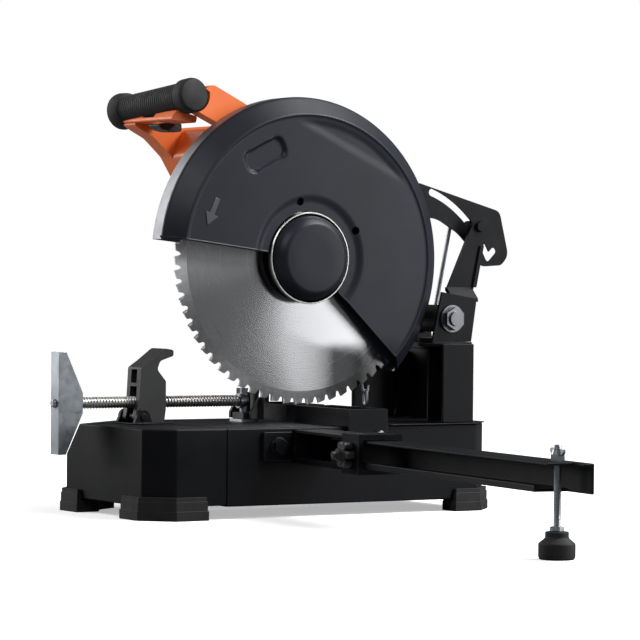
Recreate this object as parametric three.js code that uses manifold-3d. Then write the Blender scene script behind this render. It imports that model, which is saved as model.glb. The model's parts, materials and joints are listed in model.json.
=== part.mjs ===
// Cold-cut metal chop saw: a toothed disc on a hinged head over a pressed steel base,
// with a quick-release vise, a fence and an outrigger arm for long stock.
// Units are millimetres. +X is the operator's right, +Y the rear and +Z up.
// Sizes below are laid out from the blade centre line and the floor; the last step
// moves the whole saw so that the origin is at the bottom centre of its bounding box.
import * as THREE from "three";
import { mergeVertices } from "three/addons/utils/BufferGeometryUtils.js";
import Module from "manifold-3d";

const wasm = await Module();
wasm.setup();

// ---------------------------------------------------------------- driving sizes
const GAP = 0.3;              // running gap between touching pieces
const HUB_Z = 300;            // blade centre with the head at rest
const FLOOR_Z = -3;           // level the feet stand on
const BLADE_R = 177.5;        // tip radius of the 355 mm blade
const TEETH = 66;
const BLADE_T = 2.2;          // blade thickness
const BASE_X0 = -118;
const BASE_X1 = 124;
const BASE_Y0 = -272;
const BASE_Y1 = 203;
const BASE_BOTTOM = 13;
const BASE_TOP = 101.5;
const CORNER = 29;            // plan chamfer of the base
const WALL = 3;
const SEAM_Y = -176;          // joint between the front casing and the rear shell
const DECK_T = 1.2;           // rear deck plate
const PIVOT_Y = 206;          // head hinge
const PIVOT_Z = 227;
const PIN_Y = 257;            // fixed cam pin of the guard linkage
const PIN_Z = 342;
const PIN_R = 3.5;
const SLOT_R = 4.6;           // half width of the cam slot
const GUARD_RATIO = 0.375;    // lower guard turn per turn of the head
const HEAD_UP = -22;          // head travel in degrees
const HEAD_DOWN = 10.5;
const RIM_R = 195;            // guard drum
const CREASE_R = 172;         // where the guard's sloping band meets its face
const VISE_X = -32;
const VISE_Z = 127;
const SCREW_R = 7;
const JAW_Y = -41;            // clamping face of the vise jaw
const POST_Y = -59;           // post at the end of the vise screw
const FENCE_Y = -14;          // working face of the fence
const FENCE_H = 20.5;          // fence height above the base
const FENCE_TOP = BASE_TOP + FENCE_H;
const ARM_Y = -62;            // outrigger centre line where it leaves the base
const ARM_YAW = -8;           // degrees, towards the operator
const ARM_TOP = 95;
const ARM_BOTTOM = 64;
const ARM_HALF = 20;          // half depth of the channel
const ROD_U = 605;            // levelling foot, measured along the arm from the base
const SLEEVE_L = 190;
const GRIP_NEAR = [-34, -138, 493];
const GRIP_FAR = [-176, -147, 480];
const GRIP_R = 18;

// ---------------------------------------------------------------- solid helpers
function solid(geometry) {
  const g = geometry.index ? geometry.toNonIndexed() : geometry.clone();
  g.deleteAttribute("normal");
  g.deleteAttribute("uv");
  const m = mergeVertices(g, 1e-4);
  return new wasm.Manifold(new wasm.Mesh({
    numProp: 3,
    vertProperties: new Float32Array(m.attributes.position.array),
    triVerts: new Uint32Array(m.index.array),
  }));
}

function unite(list) {
  let out = list[0];
  for (let i = 1; i < list.length; i += 1) out = out.add(list[i]);
  return out;
}

function cut(body, list) {
  let out = body;
  for (const tool of list) out = out.subtract(tool);
  return out;
}

function moved(body, matrix) {
  return body.transform(matrix.elements);
}

function shift(body, x, y, z) {
  return moved(body, new THREE.Matrix4().makeTranslation(x, y, z));
}

function turned(body, axis, degrees, at = [0, 0, 0]) {
  const p = new THREE.Vector3(...at);
  const m = new THREE.Matrix4().makeTranslation(p.x, p.y, p.z);
  m.multiply(new THREE.Matrix4().makeRotationAxis(axis, THREE.MathUtils.degToRad(degrees)));
  m.multiply(new THREE.Matrix4().makeTranslation(-p.x, -p.y, -p.z));
  return moved(body, m);
}

const X = new THREE.Vector3(1, 0, 0);
const Y = new THREE.Vector3(0, 1, 0);
const Z = new THREE.Vector3(0, 0, 1);

function box(x0, x1, y0, y1, z0, z1) {
  const g = new THREE.BoxGeometry(x1 - x0, y1 - y0, z1 - z0);
  g.translate((x0 + x1) / 2, (y0 + y1) / 2, (z0 + z1) / 2);
  return solid(g);
}

// flat outlines, extruded along one axis; points are given as the two other coordinates
function extruded(points, depth, basis) {
  const shape = new THREE.Shape(points.map((p) => new THREE.Vector2(p[0], p[1])));
  const g = new THREE.ExtrudeGeometry(shape, { depth, bevelEnabled: false, curveSegments: 12 });
  g.applyMatrix4(basis);
  return solid(g);
}

function plateX(points, x0, x1) {           // points (y, z)
  const m = new THREE.Matrix4().makeBasis(Y, Z, X).setPosition(x0, 0, 0);
  return extruded(points, x1 - x0, m);
}

function plateY(points, y0, y1) {           // points (x, z)
  const m = new THREE.Matrix4().makeBasis(Z, X, Y).setPosition(0, y0, 0);
  return extruded(points.map((p) => [p[1], p[0]]), y1 - y0, m);
}

function plateZ(points, z0, z1) {           // points (x, y)
  const m = new THREE.Matrix4().makeBasis(X, Y, Z).setPosition(0, 0, z0);
  return extruded(points, z1 - z0, m);
}

// solid of revolution about X through (y, z); profile is (x, radius)
function latheX(profile, y, z, segments = 48) {
  const pts = profile.map((p) => new THREE.Vector2(p[1], p[0]));
  const g = new THREE.LatheGeometry(pts, segments);
  g.applyMatrix4(new THREE.Matrix4().makeBasis(Y, X, new THREE.Vector3(0, 0, -1)));
  g.translate(0, y, z);
  return fixed(g);
}

function latheZ(profile, x, y, segments = 32) {   // profile (radius, z)
  const pts = profile.map((p) => new THREE.Vector2(p[0], p[1]));
  const g = new THREE.LatheGeometry(pts, segments);
  g.applyMatrix4(new THREE.Matrix4().makeBasis(X, Z, new THREE.Vector3(0, -1, 0)));
  g.translate(x, y, 0);
  return fixed(g);
}

// a revolved profile may come out inside out, depending on the way it was drawn
function fixed(g) {
  const p = g.index ? g.toNonIndexed() : g;
  const a = p.attributes.position;
  let volume = 0;
  for (let i = 0; i < a.count; i += 3) {
    const [u, v, w] = [0, 1, 2].map((k) => new THREE.Vector3().fromBufferAttribute(a, i + k));
    volume += u.dot(v.cross(w)) / 6;
  }
  if (volume < 0) {
    for (let i = 0; i < a.count; i += 3) {
      const v = new THREE.Vector3().fromBufferAttribute(a, i + 1);
      const w = new THREE.Vector3().fromBufferAttribute(a, i + 2);
      a.setXYZ(i + 1, w.x, w.y, w.z);
      a.setXYZ(i + 2, v.x, v.y, v.z);
    }
  }
  return solid(p);
}

// straight round bar between two points
function bar(from, to, r0, r1 = r0, segments = 24) {
  const a = new THREE.Vector3(...from);
  const b = new THREE.Vector3(...to);
  const g = new THREE.CylinderGeometry(r1, r0, a.distanceTo(b), segments);
  const q = new THREE.Quaternion().setFromUnitVectors(Y, b.clone().sub(a).normalize());
  g.applyQuaternion(q);
  g.translate((a.x + b.x) / 2, (a.y + b.y) / 2, (a.z + b.z) / 2);
  return solid(g);
}

function hexBar(from, to, acrossFlats) {
  const r = acrossFlats / Math.sqrt(3);
  return bar(from, to, r, r, 6);
}

// corner rounding of a polygon; one radius for every corner or a list
function rounded(points, radius, steps = 5) {
  const out = [];
  const n = points.length;
  for (let i = 0; i < n; i += 1) {
    const r = Array.isArray(radius) ? radius[i] : radius;
    const p = new THREE.Vector2(...points[i]);
    if (!r) {
      out.push([p.x, p.y]);
      continue;
    }
    const before = new THREE.Vector2(...points[(i + n - 1) % n]).sub(p).normalize();
    const after = new THREE.Vector2(...points[(i + 1) % n]).sub(p).normalize();
    const half = Math.acos(THREE.MathUtils.clamp(before.dot(after), -1, 1)) / 2;
    const start = p.clone().addScaledVector(before, r / Math.tan(half));
    const end = p.clone().addScaledVector(after, r / Math.tan(half));
    for (let k = 0; k <= steps; k += 1) {
      const t = k / steps;
      const a = start.clone().multiplyScalar((1 - t) * (1 - t));
      a.addScaledVector(p, 2 * t * (1 - t));
      a.addScaledVector(end, t * t);
      out.push([a.x, a.y]);
    }
  }
  return out;
}

// points on an arc, angles in degrees from +u towards +v
function arc(cu, cv, r, from, to, steps) {
  const out = [];
  for (let k = 0; k <= steps; k += 1) {
    const t = THREE.MathUtils.degToRad(from + (to - from) * k / steps);
    out.push([cu + r * Math.cos(t), cv + r * Math.sin(t)]);
  }
  return out;
}

function material(color, roughness, metalness) {
  return { color, roughness, metalness };
}

const BLACK = material(0x2b2c30, 0.45, 0.35);
const GUARD = material(0x31333b, 0.4, 0.4);
const CAST = material(0x2d2e31, 0.6, 0.3);
const ORANGE = material(0xe8612b, 0.45, 0.0);
const RUBBER = material(0x232325, 0.85, 0.0);
const ZINC = material(0xb4bbc4, 0.35, 0.9);
const STEEL = material(0xa9a7a6, 0.3, 1.0);
const ALUMINIUM = material(0xc4c6c8, 0.4, 0.9);
const PLASTIC = material(0x26272a, 0.6, 0.0);

const saw = new THREE.Group();
saw.name = "metal_chop_saw";

function add(name, body, look) {
  const mesh = body.getMesh();
  const g = new THREE.BufferGeometry();
  g.setAttribute("position", new THREE.BufferAttribute(new Float32Array(mesh.vertProperties), 3));
  g.setIndex(new THREE.BufferAttribute(new Uint32Array(mesh.triVerts), 1));
  g.computeVertexNormals();
  const m = new THREE.Mesh(g, new THREE.MeshStandardMaterial(look));
  m.name = name;
  saw.add(m);
}

// ---------------------------------------------------------------- base
function inset(points, d) {
  // every edge of a convex anticlockwise outline moved inwards by d
  const n = points.length;
  const lines = points.map((p, i) => {
    const q = points[(i + 1) % n];
    const l = Math.hypot(q[0] - p[0], q[1] - p[1]);
    const nx = -(q[1] - p[1]) / l;
    const ny = (q[0] - p[0]) / l;
    return [nx, ny, nx * p[0] + ny * p[1] + d];
  });
  return lines.map((b, i) => {
    const a = lines[(i + n - 1) % n];
    const det = a[0] * b[1] - a[1] * b[0];
    return [(a[2] * b[1] - a[1] * b[2]) / det, (a[0] * b[2] - a[2] * b[0]) / det];
  });
}

const FRONT_PLAN = [
  [BASE_X0, SEAM_Y],
  [BASE_X0, BASE_Y0 + CORNER],
  [BASE_X0 + CORNER, BASE_Y0],
  [BASE_X1 - CORNER, BASE_Y0],
  [BASE_X1, BASE_Y0 + CORNER],
  [BASE_X1, SEAM_Y],
];

const REAR_PLAN = [
  [BASE_X0, SEAM_Y + GAP],
  [BASE_X1, SEAM_Y + GAP],
  [BASE_X1, BASE_Y1 - CORNER],
  [BASE_X1 - CORNER, BASE_Y1],
  [BASE_X0 + CORNER, BASE_Y1],
  [BASE_X0, BASE_Y1 - CORNER],
];

// the far front corner is cut back by a sloping face that clears the crank
const CLIP_A = new THREE.Vector3(BASE_X0 + 61, BASE_Y0, BASE_TOP);
const CLIP_B = new THREE.Vector3(BASE_X0, BASE_Y0 + 80, BASE_TOP);
const CLIP_C = new THREE.Vector3(BASE_X0 + CORNER, BASE_Y0, BASE_TOP - 37);

function clipBlock(depth) {
  const n = CLIP_B.clone().sub(CLIP_A).cross(CLIP_C.clone().sub(CLIP_A)).normalize();
  const g = new THREE.BoxGeometry(500, 500, 100);
  g.translate(0, 0, 50);
  g.applyQuaternion(new THREE.Quaternion().setFromUnitVectors(Z, n));
  const p = CLIP_A.clone().addScaledVector(n, -depth);
  g.translate(p.x, p.y, p.z);
  return solid(g);
}

function frontCasing() {
  const outer = cut(plateZ(FRONT_PLAN, BASE_BOTTOM, BASE_TOP), [clipBlock(0)]);
  const hollow = plateZ(inset(FRONT_PLAN, WALL), BASE_BOTTOM - 5, BASE_TOP - WALL);
  return outer.subtract(cut(hollow, [clipBlock(WALL)]));
}

function baseShell() {
  const outer = plateZ(REAR_PLAN, BASE_BOTTOM - 1.5, BASE_TOP);
  const hollow = plateZ(inset(REAR_PLAN, WALL), BASE_BOTTOM - 5, BASE_TOP - WALL);
  const bladeSlot = box(-5, 5, -105, 82, BASE_TOP - WALL - 5, BASE_TOP + 5);
  return cut(outer, [hollow, bladeSlot]);
}

// rubber shoe wrapped round one corner; sx and sy are -1 or 1
function cornerFoot(sx, sy) {
  const cx = sx > 0 ? BASE_X1 : BASE_X0;
  const cy = sy > 0 ? BASE_Y1 : BASE_Y0;
  const plan = (grow, length) => {
    const p = [
      [cx + sx * grow, cy - sy * (CORNER + length)],
      [cx + sx * grow, cy - sy * (CORNER - grow * 0.4)],
      [cx - sx * (CORNER - grow * 0.4), cy + sy * grow],
      [cx - sx * (CORNER + length), cy + sy * grow],
      [cx - sx * (CORNER + length), cy - sy * 22],
      [cx - sx * 40, cy - sy * 40],
      [cx - sx * 22, cy - sy * (CORNER + length)],
    ];
    return sx * sy > 0 ? p : p.reverse();
  };
  const reach = sy > 0 ? 34 : 40;
  const low = plateZ(plan(7, reach), FLOOR_Z, 8);
  const mid = plateZ(plan(6, reach - 1), 7.5, 19);
  const high = plateZ(plan(5, reach - 2), 18.5, 24);
  const casing = [
    [cx + sx * GAP, cy - sy * (CORNER + 90)],
    [cx + sx * GAP, cy - sy * (CORNER - 0.1)],
    [cx - sx * (CORNER - 0.1), cy + sy * GAP],
    [cx - sx * (CORNER + 90), cy + sy * GAP],
    [cx - sx * (CORNER + 90), cy - sy * 130],
  ];
  const seat = plateZ(sx * sy > 0 ? casing : casing.reverse(), BASE_BOTTOM - 1.5 - GAP, 40);
  return unite([low, mid, high]).subtract(seat);
}

function deckPlate() {
  const p = [
    [-70, 48],
    [BASE_X1 + 3, 48],
    [BASE_X1 + 3, BASE_Y1 - CORNER],
    [BASE_X1 - CORNER, BASE_Y1 + 3],
    [-70, BASE_Y1 + 3],
  ];
  const plate = plateZ(p, BASE_TOP + GAP, BASE_TOP + GAP + DECK_T);
  return plate.subtract(box(-6, 6, 40, 84, BASE_TOP - 1, BASE_TOP + 9));
}

const DECK_TOP = BASE_TOP + GAP + DECK_T;
const TOWER_X0 = 66;
const TOWER_X1 = 120;
const TOWER_Y0 = 127;
const TOWER_Y1 = 172;
const TOWER_TOP = 198;

// channel post, open to the front
function tower() {
  const z0 = DECK_TOP + GAP;
  const t = 3.5;
  const cheek = (front) => [[front, z0], [TOWER_Y1, z0], [TOWER_Y1, TOWER_TOP], [front, TOWER_TOP]];
  return unite([
    plateX(cheek(TOWER_Y0), TOWER_X1 - t, TOWER_X1),
    plateX(cheek(TOWER_Y0 + 13), TOWER_X0, TOWER_X0 + t),
    box(TOWER_X0, TOWER_X1, TOWER_Y1 - t, TOWER_Y1, z0, TOWER_TOP),
    box(TOWER_X0, TOWER_X1, TOWER_Y0, TOWER_Y1, TOWER_TOP - t, TOWER_TOP),
  ]);
}

// raked block that carries both pivot brackets; its top plate reaches past it to the left
function pedestal() {
  const z0 = DECK_TOP + GAP;
  const side = [[181, z0], [204, z0], [234, 186], [234, 192], [179, 192], [179, 150]];
  const block = plateX(side, -34, 22);
  const hollow = plateX([[186, z0 - 5], [199, z0 - 5], [226, 180], [226, 184], [186, 184]], -30, 18);
  const web = plateX([[160, z0], [182, z0], [182, 186], [166, 186]], -34, -31);
  return unite([block.subtract(hollow), web, box(-66, 24, 178, 236, 190, TOWER_TOP)]);
}

// right-hand pivot plate: wide foot, a joggle towards the blade, then a tapered arm for the pin
const BRACKET_X = 18;
const JOGGLE = 14;
const BRACKET_T = 4;
function pivotBracket() {
  const z0 = TOWER_TOP + GAP;
  const lowPlate = plateX([[178, z0], [236, z0], [244, 252], [192, 260]], BRACKET_X, BRACKET_X + BRACKET_T);
  const ramp = plateY(
    [[BRACKET_X, 248], [BRACKET_X + BRACKET_T, 248], [BRACKET_X + BRACKET_T, 252],
      [BRACKET_X - JOGGLE + BRACKET_T, 266], [BRACKET_X - JOGGLE, 266], [BRACKET_X - JOGGLE, 262],
      [BRACKET_X, 250]], 208, 246);
  const x1 = BRACKET_X - JOGGLE;
  const arm = plateX([[208, 262], [248, 262], [254, 285], [266, 328], [266, 352], [250, 352], [240, 330]],
    x1, x1 + BRACKET_T);
  const rib = plateX([[246, 266], [251, 266], [262, 318],
      [257, 318]], x1 + BRACKET_T - 0.5, x1 + BRACKET_T + 3);
  const foot = box(BRACKET_X - 26, BRACKET_X + 1, 178, 236, z0, z0 + 4);
  const hole = bar([-60, PIVOT_Y, PIVOT_Z], [60, PIVOT_Y, PIVOT_Z], 9 + GAP);
  const pinHole = bar([-60, PIN_Y, PIN_Z], [60, PIN_Y, PIN_Z], PIN_R + GAP);
  return cut(unite([lowPlate, ramp, arm, rib, foot]), [hole, pinHole]);
}

function farBracket() {
  const z0 = TOWER_TOP + GAP;
  const plate = plateX(rounded([[182, z0], [232, z0], [226, 244], [188, 244]], [0, 0, 16, 16]), -62, -58);
  const foot = box(-62, -44, 182, 232, z0, z0 + 4);
  const hole = bar([-90, PIVOT_Y, PIVOT_Z], [0, PIVOT_Y, PIVOT_Z], 9 + GAP);
  return cut(unite([plate, foot]), [hole]);
}

function pivotBolt() {
  const at = (x) => [x, PIVOT_Y, PIVOT_Z];
  const right = BRACKET_X + BRACKET_T + GAP;
  return unite([
    bar(at(-72), at(right + 12), 9, 9, 32),
    bar(at(right), at(right + 2.5), 17, 17, 32),
    hexBar(at(right + 2), at(right + 9), 25),
    hexBar(at(-72), at(-62 - GAP), 25),
  ]);
}

function camPin() {
  const x1 = BRACKET_X - JOGGLE;
  const at = (x) => [x, PIN_Y, PIN_Z];
  return unite([
    bar(at(CAM_X0 - 6.3), at(x1 + BRACKET_T + 5), PIN_R),
    bar(at(CAM_X0 - 6.3), at(CAM_X0 - GAP), 7.5),
    hexBar(at(x1 + BRACKET_T + GAP), at(x1 + BRACKET_T + 5), 12),
  ]);
}

// upright sheet left of the blade; its rear edge leans and is folded away to the left
function chipDeflector() {
  const z0 = DECK_TOP + GAP;
  const lean = 0.34;
  const side = plateX([[98, z0], [158, z0], [158 + lean * (186 - z0), 186], [98, 186]], -38, -35.3);
  const fold = plateZ([[-35.3, 157], [-49, 174], [-51.5, 172.5], [-38, 155.5]], z0, 186);
  const shear = new THREE.Matrix4().makeShear(0, 0, 0, 0, 0, 0);
  shear.elements[9] = lean;
  shear.elements[13] = -lean * z0;
  const foot = box(-56, -36, 98, 134, z0, z0 + 3);
  return unite([side, moved(fold, shear), foot]);
}

// ---------------------------------------------------------------- fence
const FENCE_X0 = -104;
const FENCE_X1 = 132;
const FENCE_Z = BASE_TOP + GAP;
const LIP_Z = BASE_TOP - 7;    // the near end hangs past the base side to here
function fence() {
  const halves = [[FENCE_X0, -9], [9, FENCE_X1]].map(([a, b]) => unite([
    box(a, b, FENCE_Y, FENCE_Y + 6, FENCE_Z, FENCE_TOP),
    box(a, b, FENCE_Y, FENCE_Y + 54, FENCE_Z, FENCE_Z + 4),
    box(a, a + 5, FENCE_Y, FENCE_Y + 54, FENCE_Z, FENCE_TOP),
    box(b - 5, b, FENCE_Y, FENCE_Y + 54, FENCE_Z, FENCE_TOP),
    box(a, b, FENCE_Y + 48, FENCE_Y + 54, FENCE_Z, FENCE_TOP),
  ]));
  const end = box(BASE_X1 + 3.5, FENCE_X1, FENCE_Y, FENCE_Y + 54, LIP_Z, FENCE_TOP);
  return [halves[0], halves[1].add(end)];
}

function fenceBolt(x) {
  const y = FENCE_Y + 27;
  const top = FENCE_Z + 4 + GAP;
  return unite([
    bar([x, y, top], [x, y, top + 2], 11),
    hexBar([x, y, top + 1.5], [x, y, top + 9], 17),
  ]);
}

// zinc strip bolted under the overhanging near end of the fence
function fenceStrip() {
  const z1 = LIP_Z - GAP;
  const x0 = BASE_X1 + 2;
  return unite([
    box(x0, FENCE_X1 + 4, FENCE_Y + 6, FENCE_Y + 46, z1 - 3.4, z1),
    hexBar([FENCE_X1 + 2.5, FENCE_Y + 40, z1 - 1.7], [FENCE_X1 + 8, FENCE_Y + 40, z1 - 1.7], 8),
  ]);
}

// ---------------------------------------------------------------- head: guards
// the rim and face of the outer guard, open from the front round the bottom to the rear
const GUARD_X0 = -3;
const GUARD_X1 = 17;
const DRUM_X0 = -24;          // back of the drum
const OPEN_FROM = 173;        // degrees round the hub, from the rear (+Y) over the top
const OPEN_TO = 316.5;
const HUB_CAP_R = 52;

function openingWedge(x0, x1, r, from, to) {
  const p = [[0, HUB_Z]].concat(arc(0, HUB_Z, r, from, to, 12));
  return plateX(p, x0, x1);
}

function upperGuard() {
  const t = 2.5;
  const outer = latheX([
    [GUARD_X0, 0], [GUARD_X0, RIM_R], [GUARD_X0 + 6, RIM_R], [GUARD_X0 + 9, RIM_R - 2.5],
    [GUARD_X1 - 1, CREASE_R + 1.5], [GUARD_X1, CREASE_R], [GUARD_X1 + 4, 60], [GUARD_X1 + 4, 0],
  ], 0, HUB_Z, 80);
  const inner = latheX([
    [GUARD_X0 - 5, 0], [GUARD_X0 - 5, RIM_R - t], [GUARD_X0 + 5.2, RIM_R - t],
    [GUARD_X0 + 7.5, RIM_R - 5], [GUARD_X1 - 3.2, CREASE_R + 0.5], [GUARD_X1 - t, CREASE_R - 1.5],
    [GUARD_X1 + 4 - t, 58], [GUARD_X1 + 4 - t, 0],
  ], 0, HUB_Z, 80);
  const bossHole = bar([0, 0, HUB_Z], [40, 0, HUB_Z], HUB_CAP_R + 5, HUB_CAP_R + 5, 64);
  const open = openingWedge(-40, 60, 260, OPEN_FROM, OPEN_TO);
  const pressing = (half, r, x0, x1) => plateX(rounded(turn2([[-17 - half, -half], [17 + half, -half],
    [17 + half, half], [-17 - half, half]], 25, -62, HUB_Z + 124), r), x0, x1);
  const shell = outer.subtract(inner).add(pressing(18, 13, GUARD_X1 - 5.6, GUARD_X1 + 1))
    .subtract(pressing(14, 9, GUARD_X1 - 3, GUARD_X1 + 12));
  const holes = [[-13, 68], [66, 34]].map(([y, z]) => bar([0, y, HUB_Z + z], [40, y, HUB_Z + z], 5));
  return cut(shell, [bossHole, open, ...holes]);
}

function turn2(points, degrees, cy, cz) {
  const t = THREE.MathUtils.degToRad(degrees);
  return points.map(([u, v]) => [
    cy + u * Math.cos(t) - v * Math.sin(t),
    cz + u * Math.sin(t) + v * Math.cos(t),
  ]);
}

function guardBack() {
  const t = 2.5;
  const x0 = DRUM_X0;
  const x1 = GUARD_X0 - GAP;
  const outer = latheX([[x0, 0], [x0, RIM_R], [x1, RIM_R], [x1, 0]], 0, HUB_Z, 80);
  const inner = latheX([[x0 + 3, 0], [x0 + 3, RIM_R - t], [x1 + 5, RIM_R - t], [x1 + 5, 0]], 0, HUB_Z, 80);
  const open = openingWedge(-60, 0, 260, OPEN_FROM + 1, OPEN_TO - 2);
  const shaft = bar([-60, 0, HUB_Z], [0, 0, HUB_Z], 16);
  const hubDisc = bar([x0, 0, HUB_Z], [x0 + 3, 0, HUB_Z], 60, 60, 64);
  const slotZone = arc(0, HUB_Z, 230, -4, 44, 8).concat(arc(0, HUB_Z, 150, 44, -4, 8));
  const camWindow = plateX(slotZone, CAM_X0 - 2, CAM_X1 + 2);
  return cut(cut(outer.subtract(inner), [open]).add(hubDisc), [shaft, camWindow]);
}

// moving guard: a sector behind the face, its rim over the teeth, and a boss ring at the hub
const LG_X0 = -13;
const LG_X1 = 6.5;
const LG_R = 182.6;
const LG_EDGE = 313.5;        // leading edge, just showing past the outer guard

function lowerGuard() {
  const t = 1.6;
  const outer = latheX([[LG_X0, 0], [LG_X0, LG_R], [LG_X1 - 10, LG_R], [LG_X1 - 3, LG_R - 4],
    [LG_X1, LG_R - 10.6], [LG_X1, 0]], 0, HUB_Z, 80);
  const inner = latheX([[LG_X0 - 5, 0], [LG_X0 - 5, LG_R - 1.8], [LG_X1 - 10.4, LG_R - 1.8],
    [LG_X1 - 3.9, LG_R - 5.2], [LG_X1 - t, LG_R - 11.2], [LG_X1 - t, 0]], 0, HUB_Z, 80);
  const keepOut = plateX([[0, HUB_Z]].concat(arc(0, HUB_Z, 300, 72, LG_EDGE, 24)), -40, 60);
  const ring = latheX([[LG_X1 - t, 40], [LG_X1 - t, 50], [LG_X1, 50], [LG_X1, 40],
      [LG_X1 - t, 40]], 0, HUB_Z, 64);
  const bore = bar([-40, 0, HUB_Z], [60, 0, HUB_Z], 40, 40, 64);
  return cut(outer.subtract(inner), [keepOut]).add(ring).subtract(bore);
}

// centre line of the slot: the fixed pin seen from the moving guard over the head's travel
function pinInGuard(headDegrees) {
  const t = THREE.MathUtils.degToRad(headDegrees);
  const hy = -PIVOT_Y;
  const hz = HUB_Z - PIVOT_Z;
  const y = PIN_Y - (PIVOT_Y + hy * Math.cos(t) - hz * Math.sin(t));
  const z = PIN_Z - (PIVOT_Z + hy * Math.sin(t) + hz * Math.cos(t));
  const a = -t * (1 + GUARD_RATIO);
  return [y * Math.cos(a) - z * Math.sin(a), HUB_Z + y * Math.sin(a) + z * Math.cos(a)];
}

const CAM_X0 = -12.5;
const CAM_X1 = -9.5;

function camPlate() {
  const outline = rounded([
    [178, 395], [300, 362], [314, 306], [303, 294], [272, 292], [262, 310],
    [236, 334], [204, 352], [178, 352],
  ], [0, 12, 16, 10, 12, 30, 40, 40, 0], 4);
  const plate = plateX(outline, CAM_X0, CAM_X1);
  const tools = [];
  const steps = 16;
  for (let k = 0; k <= steps; k += 1) {
    const [y, z] = pinInGuard(HEAD_UP - 1.5 + (HEAD_DOWN - HEAD_UP + 4) * k / steps);
    tools.push([y, z]);
  }
  const [ey, ez] = tools[steps];
  tools.push([ey + 8, ez + 8]);
  const slot = unite(tools.slice(1).map(([y, z], i) => {
    const [py, pz] = tools[i];
    const link = plateX(strip(py, pz, y, z, SLOT_R), CAM_X0 - 2, CAM_X1 + 2);
    return unite([link, bar([CAM_X0 - 2, y, z], [CAM_X1 + 2, y, z], SLOT_R, SLOT_R, 20)]);
  }).concat([bar([CAM_X0 - 2, ...tools[0]], [CAM_X1 + 2, ...tools[0]], SLOT_R, SLOT_R, 20)]));
  const inside = bar([CAM_X0 - 5, 0, HUB_Z], [CAM_X1 + 5, 0, HUB_Z], LG_R + GAP, LG_R + GAP, 96);
  return plate.subtract(slot).subtract(inside);
}

function strip(y0, z0, y1, z1, half) {
  const l = Math.hypot(y1 - y0, z1 - z0);
  const u = -(z1 - z0) / l * half;
  const v = (y1 - y0) / l * half;
  return [[y0 - u, z0 - v], [y1 - u, z1 - v], [y1 + u, z1 + v], [y0 + u, z0 + v]];
}

function hubCap() {
  const x = LG_X1 + GAP;
  return latheX([[x, 0], [x, HUB_CAP_R], [x + 10, HUB_CAP_R], [x + 17, HUB_CAP_R - 2.5],
      [x + 24, HUB_CAP_R - 10],
    [x + 27, HUB_CAP_R - 14], [x + 27, 0]], 0, HUB_Z, 56);
}

// ---------------------------------------------------------------- blade and arbor
function blade() {
  const t = BLADE_T / 2;
  const step = 360 / TEETH;
  const pts = [];
  for (let i = 0; i < TEETH; i += 1) {
    const a = i * step;
    const at = (r, da) => {
      const q = THREE.MathUtils.degToRad(a + da);
      return [r * Math.cos(q), HUB_Z + r * Math.sin(q)];
    };
    pts.push(at(BLADE_R, 0), at(BLADE_R - 1.2, step * 0.42));
    pts.push(at(BLADE_R - 7.5, step * 0.6), at(BLADE_R - 8, step * 0.8), at(BLADE_R - 5.5, step * 0.95));
  }
  const disc = plateX(pts, -t, t);
  return disc.subtract(bar([-20, 0, HUB_Z], [20, 0, HUB_Z], 12.7 + GAP, 12.7 + GAP, 40));
}

function flange(x0, x1, r, bore) {
  return bar([x0, 0, HUB_Z], [x1, 0, HUB_Z], r, r - 2, 48)
    .subtract(bar([x0 - 1, 0, HUB_Z], [x1 + 1, 0, HUB_Z], bore, bore, 32));
}

function arbor() {
  return bar([-46, 0, HUB_Z], [BLADE_T / 2 + 4.6, 0, HUB_Z], 12.4, 12.4, 40);
}

// ---------------------------------------------------------------- head: drive and arm
const GEAR_X0 = -86;
const GEAR_X1 = DRUM_X0 - GAP;
const MOTOR_Y = 22;
const MOTOR_Z = HUB_Z + 26;
const MOTOR_R = 46;

function gearbox() {
  const body = plateX(rounded([[-48, 252], [56, 252], [82, 300], [76, 366], [40, 392],
      [-30, 388], [-60, 330]],
    22, 6), GEAR_X0, GEAR_X1);
  const collar = bar([GEAR_X0 - 8, MOTOR_Y, MOTOR_Z], [GEAR_X0 + 2, MOTOR_Y, MOTOR_Z], 50, 54, 48);
  const bore = bar([-60, 0, HUB_Z], [0, 0, HUB_Z], 13);
  const lug = plateX(rounded([[60, 266], [110, 260], [110, 290], [70, 330]], 6), GEAR_X0 + 20, GEAR_X1);
  const lockBore = bar([-60, 0, 376], [-60, 0, 410], 6 + GAP);
  return cut(unite([body, collar, lug]), [bore, lockBore]);
}

function headArm() {
  const x0 = -56;
  const x1 = -40;
  const web = plateX([[111, 262], [111, 286], [150, 270], [198, 247], [216, 240], [222, 222], [210, 208],
    [190, 212], [150, 240]], x0, x1);
  const boss = bar([-57.5, PIVOT_Y, PIVOT_Z], [BRACKET_X - 2, PIVOT_Y, PIVOT_Z], 17, 17, 40);
  const bore = bar([-80, PIVOT_Y, PIVOT_Z], [60, PIVOT_Y, PIVOT_Z], 9 + GAP, 9 + GAP, 32);
  const flangePlate = box(x0 - 4, x1 + 4, 111, 118, 256, 292);
  return cut(unite([web, boss, flangePlate]), [bore]);
}

function stopRod() {
  return bar([-30, 217.8, 243.6], [-30, 238, 342], 2.6);
}

function motorHousing() {
  const x1 = GEAR_X0 - 8 - GAP;
  const x0 = -196;
  return latheX([[x1, 0], [x1, 50], [x1 - 10, 51], [x1 - 18, MOTOR_R], [x0 + 3, MOTOR_R - 1],
    [x0, MOTOR_R - 3], [x0, 0]], MOTOR_Y, MOTOR_Z, 56);
}

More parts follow.
